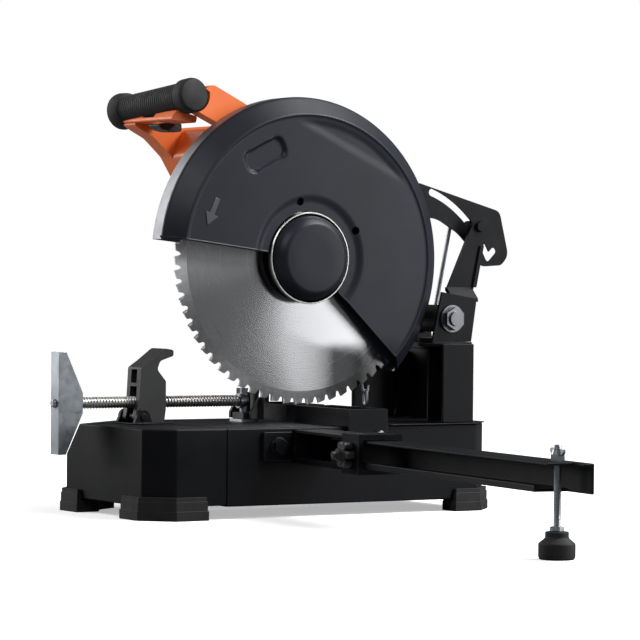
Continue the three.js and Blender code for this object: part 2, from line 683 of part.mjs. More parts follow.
function motorCap() {
  const x1 = -196 - GAP;
  const x0 = -226;
  const cap = latheX([[x1, 0], [x1, MOTOR_R - 3], [x0 + 8, MOTOR_R - 5], [x0, MOTOR_R - 16], [x0, 0]],
    MOTOR_Y, MOTOR_Z, 56);
  const vents = [-24, -12, 0, 12, 24].map((d) => box(x0 - 2, x0 + 5, MOTOR_Y - 22, MOTOR_Y + 22,
    MOTOR_Z + d - 2.2, MOTOR_Z + d + 2.2));
  return cut(cap, vents);
}

function brushCap(side) {
  const y0 = MOTOR_Y + side * (MOTOR_R - 1 + GAP);
  const y1 = MOTOR_Y + side * (MOTOR_R + 5);
  return cut(bar([-180, y0, MOTOR_Z], [-180, y1, MOTOR_Z], 9, 8, 24), [
    box(-187, -173, y1 - 1.2, y1 + 1.2, MOTOR_Z - 1, MOTOR_Z + 1)]);
}

function cordInlet() {
  const y = MOTOR_Y + 14;
  const z = MOTOR_Z + MOTOR_R - 2;
  return unite([
    bar([-150, y, z], [-150, y + 6, z + 14], 11, 9, 24),
    bar([-150, y + 5, z + 12], [-150, y + 12, z + 28], 7, 5.5, 24),
  ]);
}

// ---------------------------------------------------------------- handle
function gripAt(t) {
  return GRIP_NEAR.map((v, i) => v + (GRIP_FAR[i] - v) * t);
}

function gripShape(extra) {
  const e = extra / 142;
  return unite([
    bar(gripAt(0), gripAt(1), GRIP_R + extra, GRIP_R + extra, 32),
    bar(gripAt(-0.08 - e), gripAt(0.06 + e), 21 + extra, 21 + extra, 32),
    bar(gripAt(0.94 - e), gripAt(1.07 + e), 20 + extra, 23 + extra, 32),
  ]);
}

const TRIGGER_X0 = -118;
const TRIGGER_X1 = -92;
const TRIGGER_PIVOT = [-120, 457];

function handleFrame() {
  const near = plateX(rounded([[-160, 484], [-112, 507], [-62, 483], [-62, 452], [-100, 459], [-146, 480]],
    [6, 10, 4, 4, 4, 6]), -46, -24);
  const far = plateX(rounded([[-158, 462], [-146, 455], [-128, 446], [-104, 424], [-88, 398], [-62, 402],
    [-62, 440], [-92, 460], [-120, 466], [-148, 470]], [4, 8, 24, 24, 6, 6, 10, 12, 6, 5]), -166, -138);
  const under = plateX(rounded([[-160, 464], [-124, 461], [-122, 469], [-150, 476]], 3), -164, -44);
  const root = plateX(rounded([[-104, 424], [-88, 398], [-42, 370], [-36, 392], [-62, 452], [-70, 462],
    [-88, 456]], [10, 8, 6, 6, 8, 8, 8]), -166, -38);
  const rim = bar([DRUM_X0 - GAP, 0, HUB_Z], [20, 0, HUB_Z], RIM_R + 2, RIM_R + 2, 80);
  const triggerSlot = box(TRIGGER_X0 - 1, TRIGGER_X1 + 1, -156, -112, 440, 478);
  const buttonBore = bar([-180, -108, 448], [-154, -108, 448], 6 + GAP);
  return cut(unite([near, far, under, root]), [rim, gripShape(GAP), triggerSlot, buttonBore]);
}

function trigger() {
  const [py, pz] = TRIGGER_PIVOT;
  return plateX(rounded([[-150, 461], [-128, 463.5], [py + 4, pz + 5], [py + 4, pz - 5], [-132, 452],
    [-144, 455]], 2.5), TRIGGER_X0, TRIGGER_X1);
}

function lockOff() {
  return bar([-173, -108, 448], [-163, -108, 448], 5, 6, 20);
}

function spindleLock() {
  return bar([-60, 0, 383], [-60, 0, 402], 6, 5, 20);
}

// ---------------------------------------------------------------- chain that ties the head down
const CHAIN_X = -21.5;
const CHAIN_Y = 108;
const CHAIN_PIN_Z = 148.6;
function chainHook() {
  return unite([
    plateX([[102, 143], [114, 143], [144, 180], [144, 198], [126, 198]], CHAIN_X - 5.5, CHAIN_X - 2.8),
    bar([CHAIN_X - 4, CHAIN_Y, CHAIN_PIN_Z], [CHAIN_X + 5, CHAIN_Y, CHAIN_PIN_Z], 1.6),
    bar([CHAIN_X + 3.5, CHAIN_Y, CHAIN_PIN_Z], [CHAIN_X + 5, CHAIN_Y, CHAIN_PIN_Z], 4.5),
  ]);
}

function link(z, flat) {
  const h = 9.5;
  const w = 4.2;
  const pts = [];
  for (let k = 0; k <= 16; k += 1) {
    const t = 2 * Math.PI * k / 16;
    pts.push(new THREE.Vector3(flat ? w * Math.cos(t) : 0, flat ? 0 : w * Math.cos(t), h * Math.sin(t)));
  }
  pts.pop();
  const curve = new THREE.CatmullRomCurve3(pts, true);
  const g = new THREE.TubeGeometry(curve, 18, 1.4, 6, true);
  g.translate(CHAIN_X, CHAIN_Y, z);
  return fixed(g);
}

// ---------------------------------------------------------------- vise
function viseMount() {
  const z0 = BASE_TOP + GAP;
  const ear = (x0) => plateX(arc(-212, 110, 9, 0, 180, 10).concat([[-225, z0], [-199, z0]]), x0, x0 + 6);
  const plate = box(VISE_X - 26, VISE_X + 26, -228, -172, z0, z0 + 1.4);
  const body = unite([plate, ear(VISE_X - 24), ear(VISE_X + 18)]);
  const pin = bar([VISE_X - 26, -212, 110], [VISE_X + 26, -212, 110], 4);
  return body.add(pin);
}

function viseLever() {
  const half = 16;
  const side = plateX(rounded([
    [-220, 106], [-204, 103.4], [-180, 103.4], [-178, 118], [-178, 152], [-190, 166],
        [-186, 176], [-168, 182],
    [-168, 189], [-180, 191], [-200, 176], [-212, 168], [-214, 132],
  ], [5, 4, 3, 3, 4, 6, 6, 3, 3, 6, 6, 3, 6]), VISE_X - half, VISE_X + half);
  const channel = box(VISE_X - SCREW_R - 1, VISE_X + SCREW_R + 1, -240, -150, 90, VISE_Z);
  const arch = bar([VISE_X, -240, VISE_Z], [VISE_X, -150, VISE_Z], SCREW_R + 1, SCREW_R + 1, 32);
  const relief = box(VISE_X - SCREW_R - 1, VISE_X + SCREW_R + 1, -240, -204, 90, 146);
  const slotBack = box(VISE_X - 7, VISE_X + 7, -216, -206, 150, 166);
  const pivot = bar([VISE_X - 30, -212, 110], [VISE_X + 30, -212, 110], 4 + GAP);
  return cut(side, [channel, arch, relief, slotBack, pivot]);
}

function viseScrew() {
  return bar([VISE_X, -300, VISE_Z], [VISE_X, POST_Y - 10.5, VISE_Z], SCREW_R, SCREW_R, 32);
}

// pressed channel bar; its two triangular flanges meet the screw
function viseCrank() {
  const y0 = -318;
  const web = box(VISE_X - 9, VISE_X + 9, y0, y0 + 2.5, VISE_Z - 60, VISE_Z + 60);
  const flangeShape = [[y0, VISE_Z - 60], [y0 + 10, VISE_Z - 60], [y0 + 32, VISE_Z - 12],
      [y0 + 32, VISE_Z + 12],
    [y0 + 10, VISE_Z + 60], [y0, VISE_Z + 60]];
  const right = plateX(flangeShape, VISE_X + SCREW_R + 0.4, VISE_X + SCREW_R + 2.9);
  const left = plateX(flangeShape, VISE_X - SCREW_R - 2.9, VISE_X - SCREW_R - 0.4);
  return unite([web, left, right, bar([VISE_X, y0, VISE_Z], [VISE_X, y0 + 17.7, VISE_Z], 8, 8, 24)]);
}

function crankRivet() {
  return bar([VISE_X, -322, VISE_Z], [VISE_X, -318.3, VISE_Z], 4, 5.5, 20);
}

function viseCarriage() {
  const z0 = BASE_TOP + GAP;
  return unite([
    bar([VISE_X, POST_Y, z0], [VISE_X, POST_Y, 142], 6.5, 6.5, 28),
    box(VISE_X - 14, VISE_X + 14, POST_Y - 13, POST_Y + 10, z0, z0 + 3),
    bar([VISE_X, POST_Y - 10, VISE_Z], [VISE_X, POST_Y, VISE_Z], 9, 9, 24),
  ]);
}

// upright plate with two ribs; its foot swings on the post
function viseJaw() {
  const z0 = BASE_TOP + 3 + 2 * GAP;
  const plate = box(VISE_X - 38, VISE_X + 27, JAW_Y - 8, JAW_Y, z0, 141);
  const foot = box(VISE_X - 13, VISE_X + 13, POST_Y - 10, JAW_Y - 4, z0, 113);
  const rib = (x) => plateX([[JAW_Y - 6, z0], [JAW_Y - 6, 138], [JAW_Y - 22, 113],
      [JAW_Y - 22, z0]], x, x + 5);
  const post = bar([VISE_X, POST_Y, 60], [VISE_X, POST_Y, 200], 6.5 + GAP, 6.5 + GAP, 28);
  return cut(unite([plate, foot, rib(VISE_X - 32), rib(VISE_X + 16)]), [post]);
}

// ---------------------------------------------------------------- outrigger arm
// built along u from the base side, then turned to its yaw about the point where it leaves the base
const ARM_ORIGIN = [BASE_X1, ARM_Y, 0];
function placed(body) {
  return turned(shift(body, ARM_ORIGIN[0], ARM_ORIGIN[1], 0), Z, ARM_YAW, ARM_ORIGIN);
}

function channelBar(u0, u1, v0, v1, z0, z1, t, lip) {
  return unite([
    box(u0, u1, v1 - t, v1, z0, z1),
    box(u0, u1, v0, v1, z1 - t, z1),
    box(u0, u1, v0, v1, z0, z0 + t),
    box(u0, u1, v0, v0 + t, z0, z0 + lip),
  ]);
}

function armSleeve() {
  const c = 1.2;
  const body = channelBar(6, SLEEVE_L, -ARM_HALF - 4, ARM_HALF + 4, ARM_BOTTOM - 4, ARM_TOP + 4, 3, 7);
  const v = ARM_HALF + 4;
  const collar = box(SLEEVE_L - 44, SLEEVE_L, -v - 3, v + 3, ARM_BOTTOM - 7, ARM_TOP + 7)
    .subtract(box(SLEEVE_L - 60, SLEEVE_L + 20, -ARM_HALF - c, ARM_HALF + c, ARM_BOTTOM - c, ARM_TOP + c));
  const tapped = bar([SLEEVE_L - 22, -60, 79], [SLEEVE_L - 22, -ARM_HALF + 2, 79], 4 + GAP);
  const root = box(2, 7, -v, v, ARM_BOTTOM - 4, ARM_TOP + 4);
  const baseSide = turned(box(-50, 0.6, -90, 90, -10, 210), Z, -ARM_YAW);
  return placed(cut(unite([body, collar, root]), [tapped, baseSide]));
}

function supportArm() {
  const t = 3;
  const u0 = 100;
  const uEnd = ROD_U + 40;
  const body = channelBar(u0, ROD_U - 12, -ARM_HALF, ARM_HALF, ARM_BOTTOM, ARM_TOP, t, 7);
  const tail = unite([
    box(ROD_U - 13, uEnd, ARM_HALF - t, ARM_HALF, ARM_BOTTOM, ARM_TOP),
    box(ROD_U - 13, ROD_U + 16, -ARM_HALF, ARM_HALF, ARM_TOP - t, ARM_TOP),
    box(ROD_U - 13, uEnd, ARM_HALF - 12, ARM_HALF, ARM_TOP - t, ARM_TOP),
  ]);
  const hole = bar([ROD_U, 0, 50], [ROD_U, 0, 120], 4 + GAP);
  return placed(cut(unite([body, tail]), [hole]));
}

function armKnob() {
  const u = SLEEVE_L - 22;
  const v = -ARM_HALF - 7 - GAP;
  const parts = [
    bar([u, v, 79], [u, v - 12, 79], 9, 9, 24),
    bar([u, -ARM_HALF - 1.2, 79], [u, v - 22, 79], 4, 4, 20),
    hexBar([u, v - 11, 79], [u, v - 17, 79], 12),
  ];
  for (let k = 0; k < 6; k += 1) {
    const a = Math.PI * k / 3;
    const [du, dz] = [11 * Math.cos(a), 11 * Math.sin(a)];
    parts.push(bar([u + du, v - 1, 79 + dz], [u + du, v - 11, 79 + dz], 4.6, 4.6, 14));
  }
  return placed(unite(parts));
}

function footRod() {
  return placed(unite([
    bar([ROD_U, 0, 20], [ROD_U, 0, 112], 4, 4, 24),
    hexBar([ROD_U, 0, 25 + GAP], [ROD_U, 0, 30], 13),
  ]));
}

function footPad() {
  const pad = latheZ([[0, FLOOR_Z], [17.5, FLOOR_Z], [18.8, 0], [18.8, 13], [13, 18], [12, 19],
      [12, 25], [0, 25]], ROD_U, 0, 36);
  return placed(pad.subtract(bar([ROD_U, 0, 20 - GAP], [ROD_U, 0, 40], 4 + GAP)));
}

function wingNut() {
  const z = ARM_TOP + GAP;
  const wing = (s) => plateY(rounded([[ROD_U + s * 4, z + 4], [ROD_U + s * 14, z + 9],
      [ROD_U + s * 13, z + 14],
    [ROD_U + s * 5, z + 10]], 1.5), -1.5, 1.5);
  const body = hexBar([ROD_U, 0, z], [ROD_U, 0, z + 7], 14);
  const cone = bar([ROD_U, 0, z + 6], [ROD_U, 0, z + 12], 7, 5.5, 20);
  return placed(cut(unite([body, cone, wing(1), turned(wing(1), Z, 180, [ROD_U, 0, 0])]), [
    bar([ROD_U, 0, z - 2], [ROD_U, 0, z + 20], 4 + GAP)]));
}

function armMount() {
  const x = BASE_X1 + GAP;
  return plateX(rounded([[-129, 63], [-90, 63], [-90, 97], [-129, 97]], 2), x, x + 4);
}

function armMountBolt() {
  const x = BASE_X1 + 4 + 2 * GAP;
  return unite([bar([x, -109, 80], [x + 2, -109, 80], 11), hexBar([x + 1.5, -109, 80],
      [x + 8, -109, 80], 17)]);
}

// ---------------------------------------------------------------- assembly
add("base_shell", baseShell(), BLACK);
add("front_casing", frontCasing(), BLACK);
add("foot_front_right", cornerFoot(1, -1), RUBBER);
add("foot_front_left", cornerFoot(-1, -1), RUBBER);
add("foot_rear_right", cornerFoot(1, 1), RUBBER);
add("foot_rear_left", cornerFoot(-1, 1), RUBBER);
add("deck_plate", deckPlate(), BLACK);
add("tower", tower(), BLACK);
add("pedestal", pedestal(), BLACK);
add("pivot_bracket", pivotBracket(), BLACK);
add("pivot_bracket_left", farBracket(), BLACK);
add("pivot_bolt", pivotBolt(), ZINC);
add("cam_pin", camPin(), BLACK);
add("chip_deflector", chipDeflector(), BLACK);
const [fenceLeft, fenceRight] = fence();
add("fence_left", fenceLeft, BLACK);
add("fence_right", fenceRight, BLACK);
add("fence_bolt_left", fenceBolt(-56), ZINC);
add("fence_bolt_right", fenceBolt(70), ZINC);
add("fence_strip", fenceStrip(), ZINC);
add("arm_mount", armMount(), BLACK);
add("arm_mount_bolt", armMountBolt(), BLACK);
add("arm_sleeve", armSleeve(), BLACK);
add("vise_mount", viseMount(), ZINC);

add("upper_guard", upperGuard(), GUARD);
add("guard_back", guardBack(), ALUMINIUM);
add("gearbox", gearbox(), ALUMINIUM);
add("head_arm", headArm(), CAST);
add("stop_rod", stopRod(), ZINC);
add("motor_housing", motorHousing(), ORANGE);
add("motor_cap", motorCap(), PLASTIC);
add("brush_cap_front", brushCap(-1), PLASTIC);
add("brush_cap_rear", brushCap(1), PLASTIC);
add("cord_inlet", cordInlet(), RUBBER);
add("handle_frame", handleFrame(), ORANGE);
add("grip", gripShape(0), RUBBER);
add("chain_hook", chainHook(), ZINC);

add("trigger", trigger(), PLASTIC);
add("lock_off_button", lockOff(), ORANGE);
add("spindle_lock", spindleLock(), PLASTIC);

add("blade", blade(), STEEL);
add("inner_flange", flange(-BLADE_T / 2 - 5, -BLADE_T / 2 - GAP, 30, 12.4 + GAP), STEEL);
add("outer_flange", flange(BLADE_T / 2 + GAP, BLADE_T / 2 + 4.5, 34, 12.4 + GAP), STEEL);
add("arbor", arbor(), STEEL);

add("lower_guard", lowerGuard(), GUARD);
add("cam_plate", camPlate(), BLACK);
add("hub_cap", hubCap(), GUARD);

add("chain_link_upper", link(CHAIN_PIN_Z - 5.6, false), ZINC);
add("chain_link_lower", link(CHAIN_PIN_Z - 19.2, true), ZINC);

add("vise_lever", viseLever(), CAST);
add("vise_carriage", viseCarriage(), ZINC);
add("vise_jaw", viseJaw(), CAST);
add("vise_screw", viseScrew(), STEEL);
add("vise_crank", viseCrank(), ZINC);
add("crank_rivet", crankRivet(), ZINC);

add("support_arm", supportArm(), BLACK);
add("arm_knob", armKnob(), PLASTIC);
add("foot_rod", footRod(), ZINC);
add("foot_pad", footPad(), RUBBER);
add("wing_nut", wingNut(), ZINC);

const bounds = new THREE.Box3().setFromObject(saw);
const mid = bounds.getCenter(new THREE.Vector3());
for (const m of saw.children) m.geometry.translate(-mid.x, -mid.y, -bounds.min.z);

export default saw;
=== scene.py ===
import json
import math

import bmesh
import bpy
from mathutils import Matrix, Vector


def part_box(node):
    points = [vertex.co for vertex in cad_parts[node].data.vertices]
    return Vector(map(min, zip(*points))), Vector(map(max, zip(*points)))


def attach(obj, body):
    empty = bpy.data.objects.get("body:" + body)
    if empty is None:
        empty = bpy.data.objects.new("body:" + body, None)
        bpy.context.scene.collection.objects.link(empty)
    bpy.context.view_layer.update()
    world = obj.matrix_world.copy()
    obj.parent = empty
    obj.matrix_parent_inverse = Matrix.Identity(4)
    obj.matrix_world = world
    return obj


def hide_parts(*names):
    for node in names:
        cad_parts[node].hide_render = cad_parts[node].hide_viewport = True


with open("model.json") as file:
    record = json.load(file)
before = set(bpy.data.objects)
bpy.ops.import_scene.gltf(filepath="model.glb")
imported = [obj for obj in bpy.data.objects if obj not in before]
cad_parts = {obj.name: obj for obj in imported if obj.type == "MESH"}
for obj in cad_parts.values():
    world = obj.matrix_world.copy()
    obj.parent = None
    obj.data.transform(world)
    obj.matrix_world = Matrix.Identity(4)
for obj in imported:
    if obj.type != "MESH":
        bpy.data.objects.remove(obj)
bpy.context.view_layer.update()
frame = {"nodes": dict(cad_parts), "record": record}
RECORD = frame["record"]
SLOT = {s["node"]: s["material_slot"] for s in RECORD["subparts"]}
BODY = {n: b for b, ns in RECORD["behaviour"]["bodies"].items() for n in ns}


def hub_point():
    low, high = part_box("hub_cap")
    x0, x1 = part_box("blade")
    return Vector(((x0.x + x1.x) / 2, (low.y + high.y) / 2, (low.z + high.z) / 2))


HUB = hub_point()          # blade centre; sizes below are millimetres from it along X, Y, Z


def P(x, y, z):
    return HUB + Vector((x, y, z)) / 1000


# ---------------------------------------------------------------- camera and light
def camera():
    az, el, roll = (math.radians(v) for v in (57.77, 0.775, 0.512))
    back = Vector((math.sin(az) * math.cos(el), -math.cos(az) * math.cos(el), math.sin(el)))
    right = Vector((math.cos(az), math.sin(az), 0))
    up = back.cross(right)
    r = right * math.cos(roll) + up * math.sin(roll)
    u = up * math.cos(roll) - right * math.sin(roll)
    data = bpy.data.cameras.new("camera")
    data.sensor_width = 36
    data.lens = 182.77
    data.clip_end = 100
    cam = bpy.data.objects.new("camera", data)
    m = Matrix((r, u, back)).transposed().to_4x4()
    m.translation = P(3342.95, -2080.47, -21.56)
    cam.matrix_world = m
    bpy.context.scene.collection.objects.link(cam)
    bpy.context.scene.camera = cam


def area(name, at, look, size, power, color=(1, 1, 1)):
    data = bpy.data.lights.new(name, "AREA")
    data.shape = "RECTANGLE"
    data.size, data.size_y = size
    data.energy = power
    data.color = color
    o = bpy.data.objects.new(name, data)
    o.location = P(*at)
    o.rotation_euler = (P(*look) - P(*at)).to_track_quat("-Z", "Y").to_euler()
    bpy.context.scene.collection.objects.link(o)


def studio():
    scene = bpy.context.scene
    scene.view_settings.view_transform = "Standard"
    world = bpy.data.worlds.new("studio")
    scene.world = world
    world.use_nodes = True
    t = world.node_tree
    bg = t.nodes["Background"]
    bg.inputs["Strength"].default_value = 0.10
    white = t.nodes.new("ShaderNodeBackground")
    white.inputs["Strength"].default_value = 1.0
    path = t.nodes.new("ShaderNodeLightPath")
    mix = t.nodes.new("ShaderNodeMixShader")
    t.links.new(path.outputs["Is Camera Ray"], mix.inputs["Fac"])
    t.links.new(bg.outputs[0], mix.inputs[1])
    t.links.new(white.outputs[0], mix.inputs[2])
    t.links.new(mix.outputs[0], t.nodes["World Output"].inputs[0])
    bg.inputs["Color"].default_value = (1, 1, 1, 1)
    white.inputs["Color"].default_value = (1, 1, 1, 1)
    area("key", (900, -1500, 1500), (0, 0, 0), (1.1, 1.1), 14)
    area("left", (-1700, -1300, 700), (0, 0, 50), (1.2, 1.6), 30)
    area("right", (1500, 1500, 500), (0, 0, 0), (0.8, 1.6), 20)
    area("top", (600, 1000, 1700), (0, 0, 0), (1.0, 1.0), 8)
    area("sheen", (1000, 1066, 1360), (0, 0, 0), (0.35, 0.35), 20)
    sun = bpy.data.lights.new("sun", "SUN")
    sun.energy = 2.2
    sun.angle = math.radians(45)
    o = bpy.data.objects.new("sun", sun)
    o.rotation_euler = Vector((0.3, 0.6, 0.74)).to_track_quat("Z", "Y").to_euler()
    bpy.context.scene.collection.objects.link(o)
    floor = bpy.data.meshes.new("floor")
    s = 40.0
    floor.from_pydata([(-s, -s, 0), (s, -s, 0), (s, s, 0), (-s, s, 0)], [], [(0, 1, 2, 3)])
    plane = bpy.data.objects.new("floor", floor)
    bpy.context.scene.collection.objects.link(plane)
    m = bpy.data.materials.new("floor")
    m.use_nodes = True
    t = m.node_tree
    p = t.nodes["Principled BSDF"]
    p.inputs["Base Color"].default_value = (0.97, 0.97, 0.97, 1)
    p.inputs["Roughness"].default_value = 0.9
    p.inputs["Specular IOR Level"].default_value = 0.1
    p.inputs["Emission Color"].default_value = (1, 1, 1, 1)
    p.inputs["Emission Strength"].default_value = 0.42
    dim = t.nodes.new("ShaderNodeBsdfDiffuse")
    dim.inputs["Color"].default_value = (0.22, 0.22, 0.22, 1)
    path = t.nodes.new("ShaderNodeLightPath")
    mix = t.nodes.new("ShaderNodeMixShader")
    t.links.new(path.outputs["Is Camera Ray"], mix.inputs["Fac"])
    t.links.new(dim.outputs[0], mix.inputs[1])
    t.links.new(p.outputs[0], mix.inputs[2])
    t.links.new(mix.outputs[0], t.nodes["Material Output"].inputs[0])
    floor.materials.append(m)


# ---------------------------------------------------------------- materials
class Graph:
    def __init__(self, name):
        self.mat = bpy.data.materials.new(name)
        self.mat.use_nodes = True
        self.t = self.mat.node_tree
        self.p = self.t.nodes["Principled BSDF"]
        self.coord = self.t.nodes.new("ShaderNodeTexCoord").outputs["Object"]

    def link(self, a, b):
        self.t.links.new(a, b)

    def noise(self, scale, detail=4, stretch=None, rough=0.55):
        n = self.t.nodes.new("ShaderNodeTexNoise")
        n.inputs["Scale"].default_value = scale
        n.inputs["Detail"].default_value = detail
        n.inputs["Roughness"].default_value = rough
        src = self.coord
        if stretch:
            m = self.t.nodes.new("ShaderNodeMapping")
            m.inputs["Scale"].default_value = stretch
            self.link(src, m.inputs["Vector"])
            src = m.outputs[0]
        self.link(src, n.inputs["Vector"])
        return n.outputs["Fac"]

    def ramp(self, src, stops):
        r = self.t.nodes.new("ShaderNodeValToRGB")
        e = r.color_ramp.elements
        e[0].position, e[0].color = stops[0][0], (*stops[0][1], 1)
        e[1].position, e[1].color = stops[-1][0], (*stops[-1][1], 1)
        for pos, c in stops[1:-1]:
            k = e.new(pos)
            k.color = (*c, 1)
        self.link(src, r.inputs[0])
        return r.outputs[0]

    def span(self, src, a, b, lo=0.25, hi=0.75):
        m = self.t.nodes.new("ShaderNodeMapRange")
        m.inputs["From Min"].default_value = lo
        m.inputs["From Max"].default_value = hi
        m.inputs["To Min"].default_value = a
        m.inputs["To Max"].default_value = b
        self.link(src, m.inputs["Value"])
        return m.outputs[0]

    def mix(self, fac, a, b):
        m = self.t.nodes.new("ShaderNodeMix")
        m.data_type = "RGBA"
        for k, v in ((6, a), (7, b)):
            if isinstance(v, tuple):
                m.inputs[k].default_value = (*v, 1)
            else:
                self.link(v, m.inputs[k])
        self.link(fac, m.inputs[0])
        return m.outputs[2]

    def math(self, op, a, b):
        m = self.t.nodes.new("ShaderNodeMath")
        m.operation = op
        for k, v in ((0, a), (1, b)):
            if isinstance(v, (int, float)):
                m.inputs[k].default_value = v
            else:
                self.link(v, m.inputs[k])
        return m.outputs[0]

    def bump(self, height, strength, distance):
        b = self.t.nodes.new("ShaderNodeBump")
        b.inputs["Strength"].default_value = strength
        b.inputs["Distance"].default_value = distance
        self.link(height, b.inputs["Height"])
        self.link(b.outputs[0], self.p.inputs["Normal"])

    def edges(self, radius):
        """1 on convex and concave edges, 0 on flat faces."""
        b = self.t.nodes.new("ShaderNodeBevel")
        b.samples = 4
        b.inputs["Radius"].default_value = radius
        g = self.t.nodes.new("ShaderNodeNewGeometry")
        d = self.t.nodes.new("ShaderNodeVectorMath")
        d.operation = "DOT_PRODUCT"
        self.link(b.outputs[0], d.inputs[0])
        self.link(g.outputs["Normal"], d.inputs[1])
        return self.span(d.outputs["Value"], 1, 0, 0.86, 0.995)

    def put(self, socket, value):
        self.p.inputs[socket].default_value = value


def painted(name, dark, light, rough=(0.38, 0.5), wear=0.25, grain=0.5, spec=0.5):
    g = Graph(name)
    tone = g.ramp(g.noise(9, 3), [(0.3, dark), (0.7, light)])
    rub = g.math("MULTIPLY", g.edges(0.0009), g.span(g.noise(140, 5), 0.0, wear, 0.42, 0.62))
    g.link(g.mix(rub, tone, (0.20, 0.205, 0.215)), g.p.inputs["Base Color"])
    g.link(g.span(g.noise(35, 4), rough[0], rough[1]), g.p.inputs["Roughness"])
    g.put("Specular IOR Level", spec)
    g.bump(g.noise(1500, 2), 0.25 * grain, 0.0004)
    return g.mat


def plastic(name, dark, light, rough=(0.4, 0.55), grain=0.5, spec=0.5):
    g = Graph(name)
    g.link(g.ramp(g.noise(14, 3), [(0.3, dark), (0.7, light)]), g.p.inputs["Base Color"])
    g.link(g.span(g.noise(60, 4), rough[0], rough[1]), g.p.inputs["Roughness"])
    g.put("Specular IOR Level", spec)
    v = g.t.nodes.new("ShaderNodeTexVoronoi")
    v.inputs["Scale"].default_value = 900
    g.link(g.coord, v.inputs["Vector"])
    g.bump(v.outputs["Distance"], 0.3 * grain, 0.0003)
    return g.mat


def plated(name, dark, light, rough=(0.25, 0.42), stretch=(1, 1, 1), grain=0.4):
    g = Graph(name)
    g.link(g.ramp(g.noise(30, 5), [(0.3, dark), (0.72, light)]), g.p.inputs["Base Color"])
    g.link(g.span(g.noise(120, 5, stretch), rough[0], rough[1]), g.p.inputs["Roughness"])
    g.put("Metallic", 1.0)
    g.bump(g.noise(700, 3, stretch), 0.15 * grain, 0.0003)
    return g.mat


def blade_steel(name):
    """Ground disc: fine rings about the arbor, a matt band at the rim and a radial sheen."""
    g = Graph(name)
    sep = g.t.nodes.new("ShaderNodeSeparateXYZ")
    g.link(g.coord, sep.inputs[0])
    y, z = sep.outputs["Y"], sep.outputs["Z"]
    radius = g.math("SQRT", g.math("ADD", g.math("MULTIPLY", y, y), g.math("MULTIPLY", z, z)), 0)
    ring = g.t.nodes.new("ShaderNodeCombineXYZ")
    g.link(radius, ring.inputs["X"])
    fine = g.t.nodes.new("ShaderNodeTexNoise")
    fine.inputs["Scale"].default_value = 900
    fine.inputs["Detail"].default_value = 3
    g.link(ring.outputs[0], fine.inputs["Vector"])
    rim = g.span(radius, 0, 1, 0.1605, 0.1620)
    tone = g.ramp(g.noise(6, 3), [(0.3, (0.45, 0.455, 0.47)), (0.7, (0.54, 0.545, 0.56))])
    matt = g.ramp(g.noise(160, 4), [(0.3, (0.34, 0.345, 0.355)), (0.7, (0.45, 0.455, 0.465))])
    lines = g.mix(g.span(fine.outputs["Fac"], 0, 0.35), tone, (0.35, 0.353, 0.363))
    g.link(g.mix(rim, lines, matt), g.p.inputs["Base Color"])
    worn = g.span(fine.outputs["Fac"], 0.20, 0.29)
    g.link(g.math("ADD", worn, g.math("MULTIPLY", rim, 0.16)), g.p.inputs["Roughness"])
    g.put("Metallic", 1.0)
    g.put("Anisotropic", 1.0)
    tan = g.t.nodes.new("ShaderNodeTangent")
    tan.direction_type = "RADIAL"
    tan.axis = "X"
    g.link(tan.outputs[0], g.p.inputs["Tangent"])
    g.bump(fine.outputs["Fac"], 0.03, 0.0001)
    return g.mat


MAT = {
    "black_paint": painted("black_paint", (0.0032, 0.0035, 0.0048), (0.0055, 0.006, 0.0078), spec=0.13),
    "guard_paint": painted("guard_paint", (0.0125, 0.0138, 0.0195), (0.017, 0.0188, 0.0275),
                           (0.34, 0.42), 0.2, 0.3, 0.22),
    "cast_black": painted("cast_black", (0.010, 0.0105, 0.012), (0.018, 0.0185, 0.02),
                          (0.45, 0.62), 0.4, 1.4),
    "orange_plastic": plastic("orange_plastic", (0.80, 0.150, 0.024), (0.88, 0.180, 0.034),
                              (0.34, 0.46), 0.4),
    "rubber": plastic("rubber", (0.010, 0.010, 0.011), (0.019, 0.019, 0.020), (0.62, 0.8), 1.2, 0.35),
    "black_plastic": plastic("black_plastic", (0.012, 0.0125, 0.014), (0.02, 0.0205, 0.022),
                             (0.42, 0.55), 0.8),
    "zinc": plated("zinc", (0.34, 0.37, 0.40), (0.46, 0.49, 0.53), (0.28, 0.42)),
    "steel": plated("steel", (0.46, 0.45, 0.44), (0.60, 0.59, 0.57), (0.22, 0.38)),
    "aluminium": plated("aluminium", (0.20, 0.205, 0.22), (0.27, 0.275, 0.29), (0.42, 0.55)),
}
BLADE_MAT = blade_steel("blade_steel")
BOLT_MAT = plated("bolt_steel", (0.10, 0.105, 0.115), (0.17, 0.175, 0.185), (0.30, 0.45))
REPAINT = {"vise_mount": MAT["black_paint"], "chain_hook": MAT["black_paint"], "pivot_bolt": BOLT_MAT}
TIP = plated("carbide", (0.30, 0.29, 0.28), (0.42, 0.41, 0.40), (0.3, 0.45))
# Arrow paint lighter than the guard paint: a painted highlight standing in for the light caught by the
# arrow's raised outline.
ARROW_PAINTED_HIGHLIGHT = painted("arrow_painted_highlight", (0.040, 0.042, 0.050), (0.055, 0.057, 0.066), (0.3, 0.4), 0.3, 0.3)


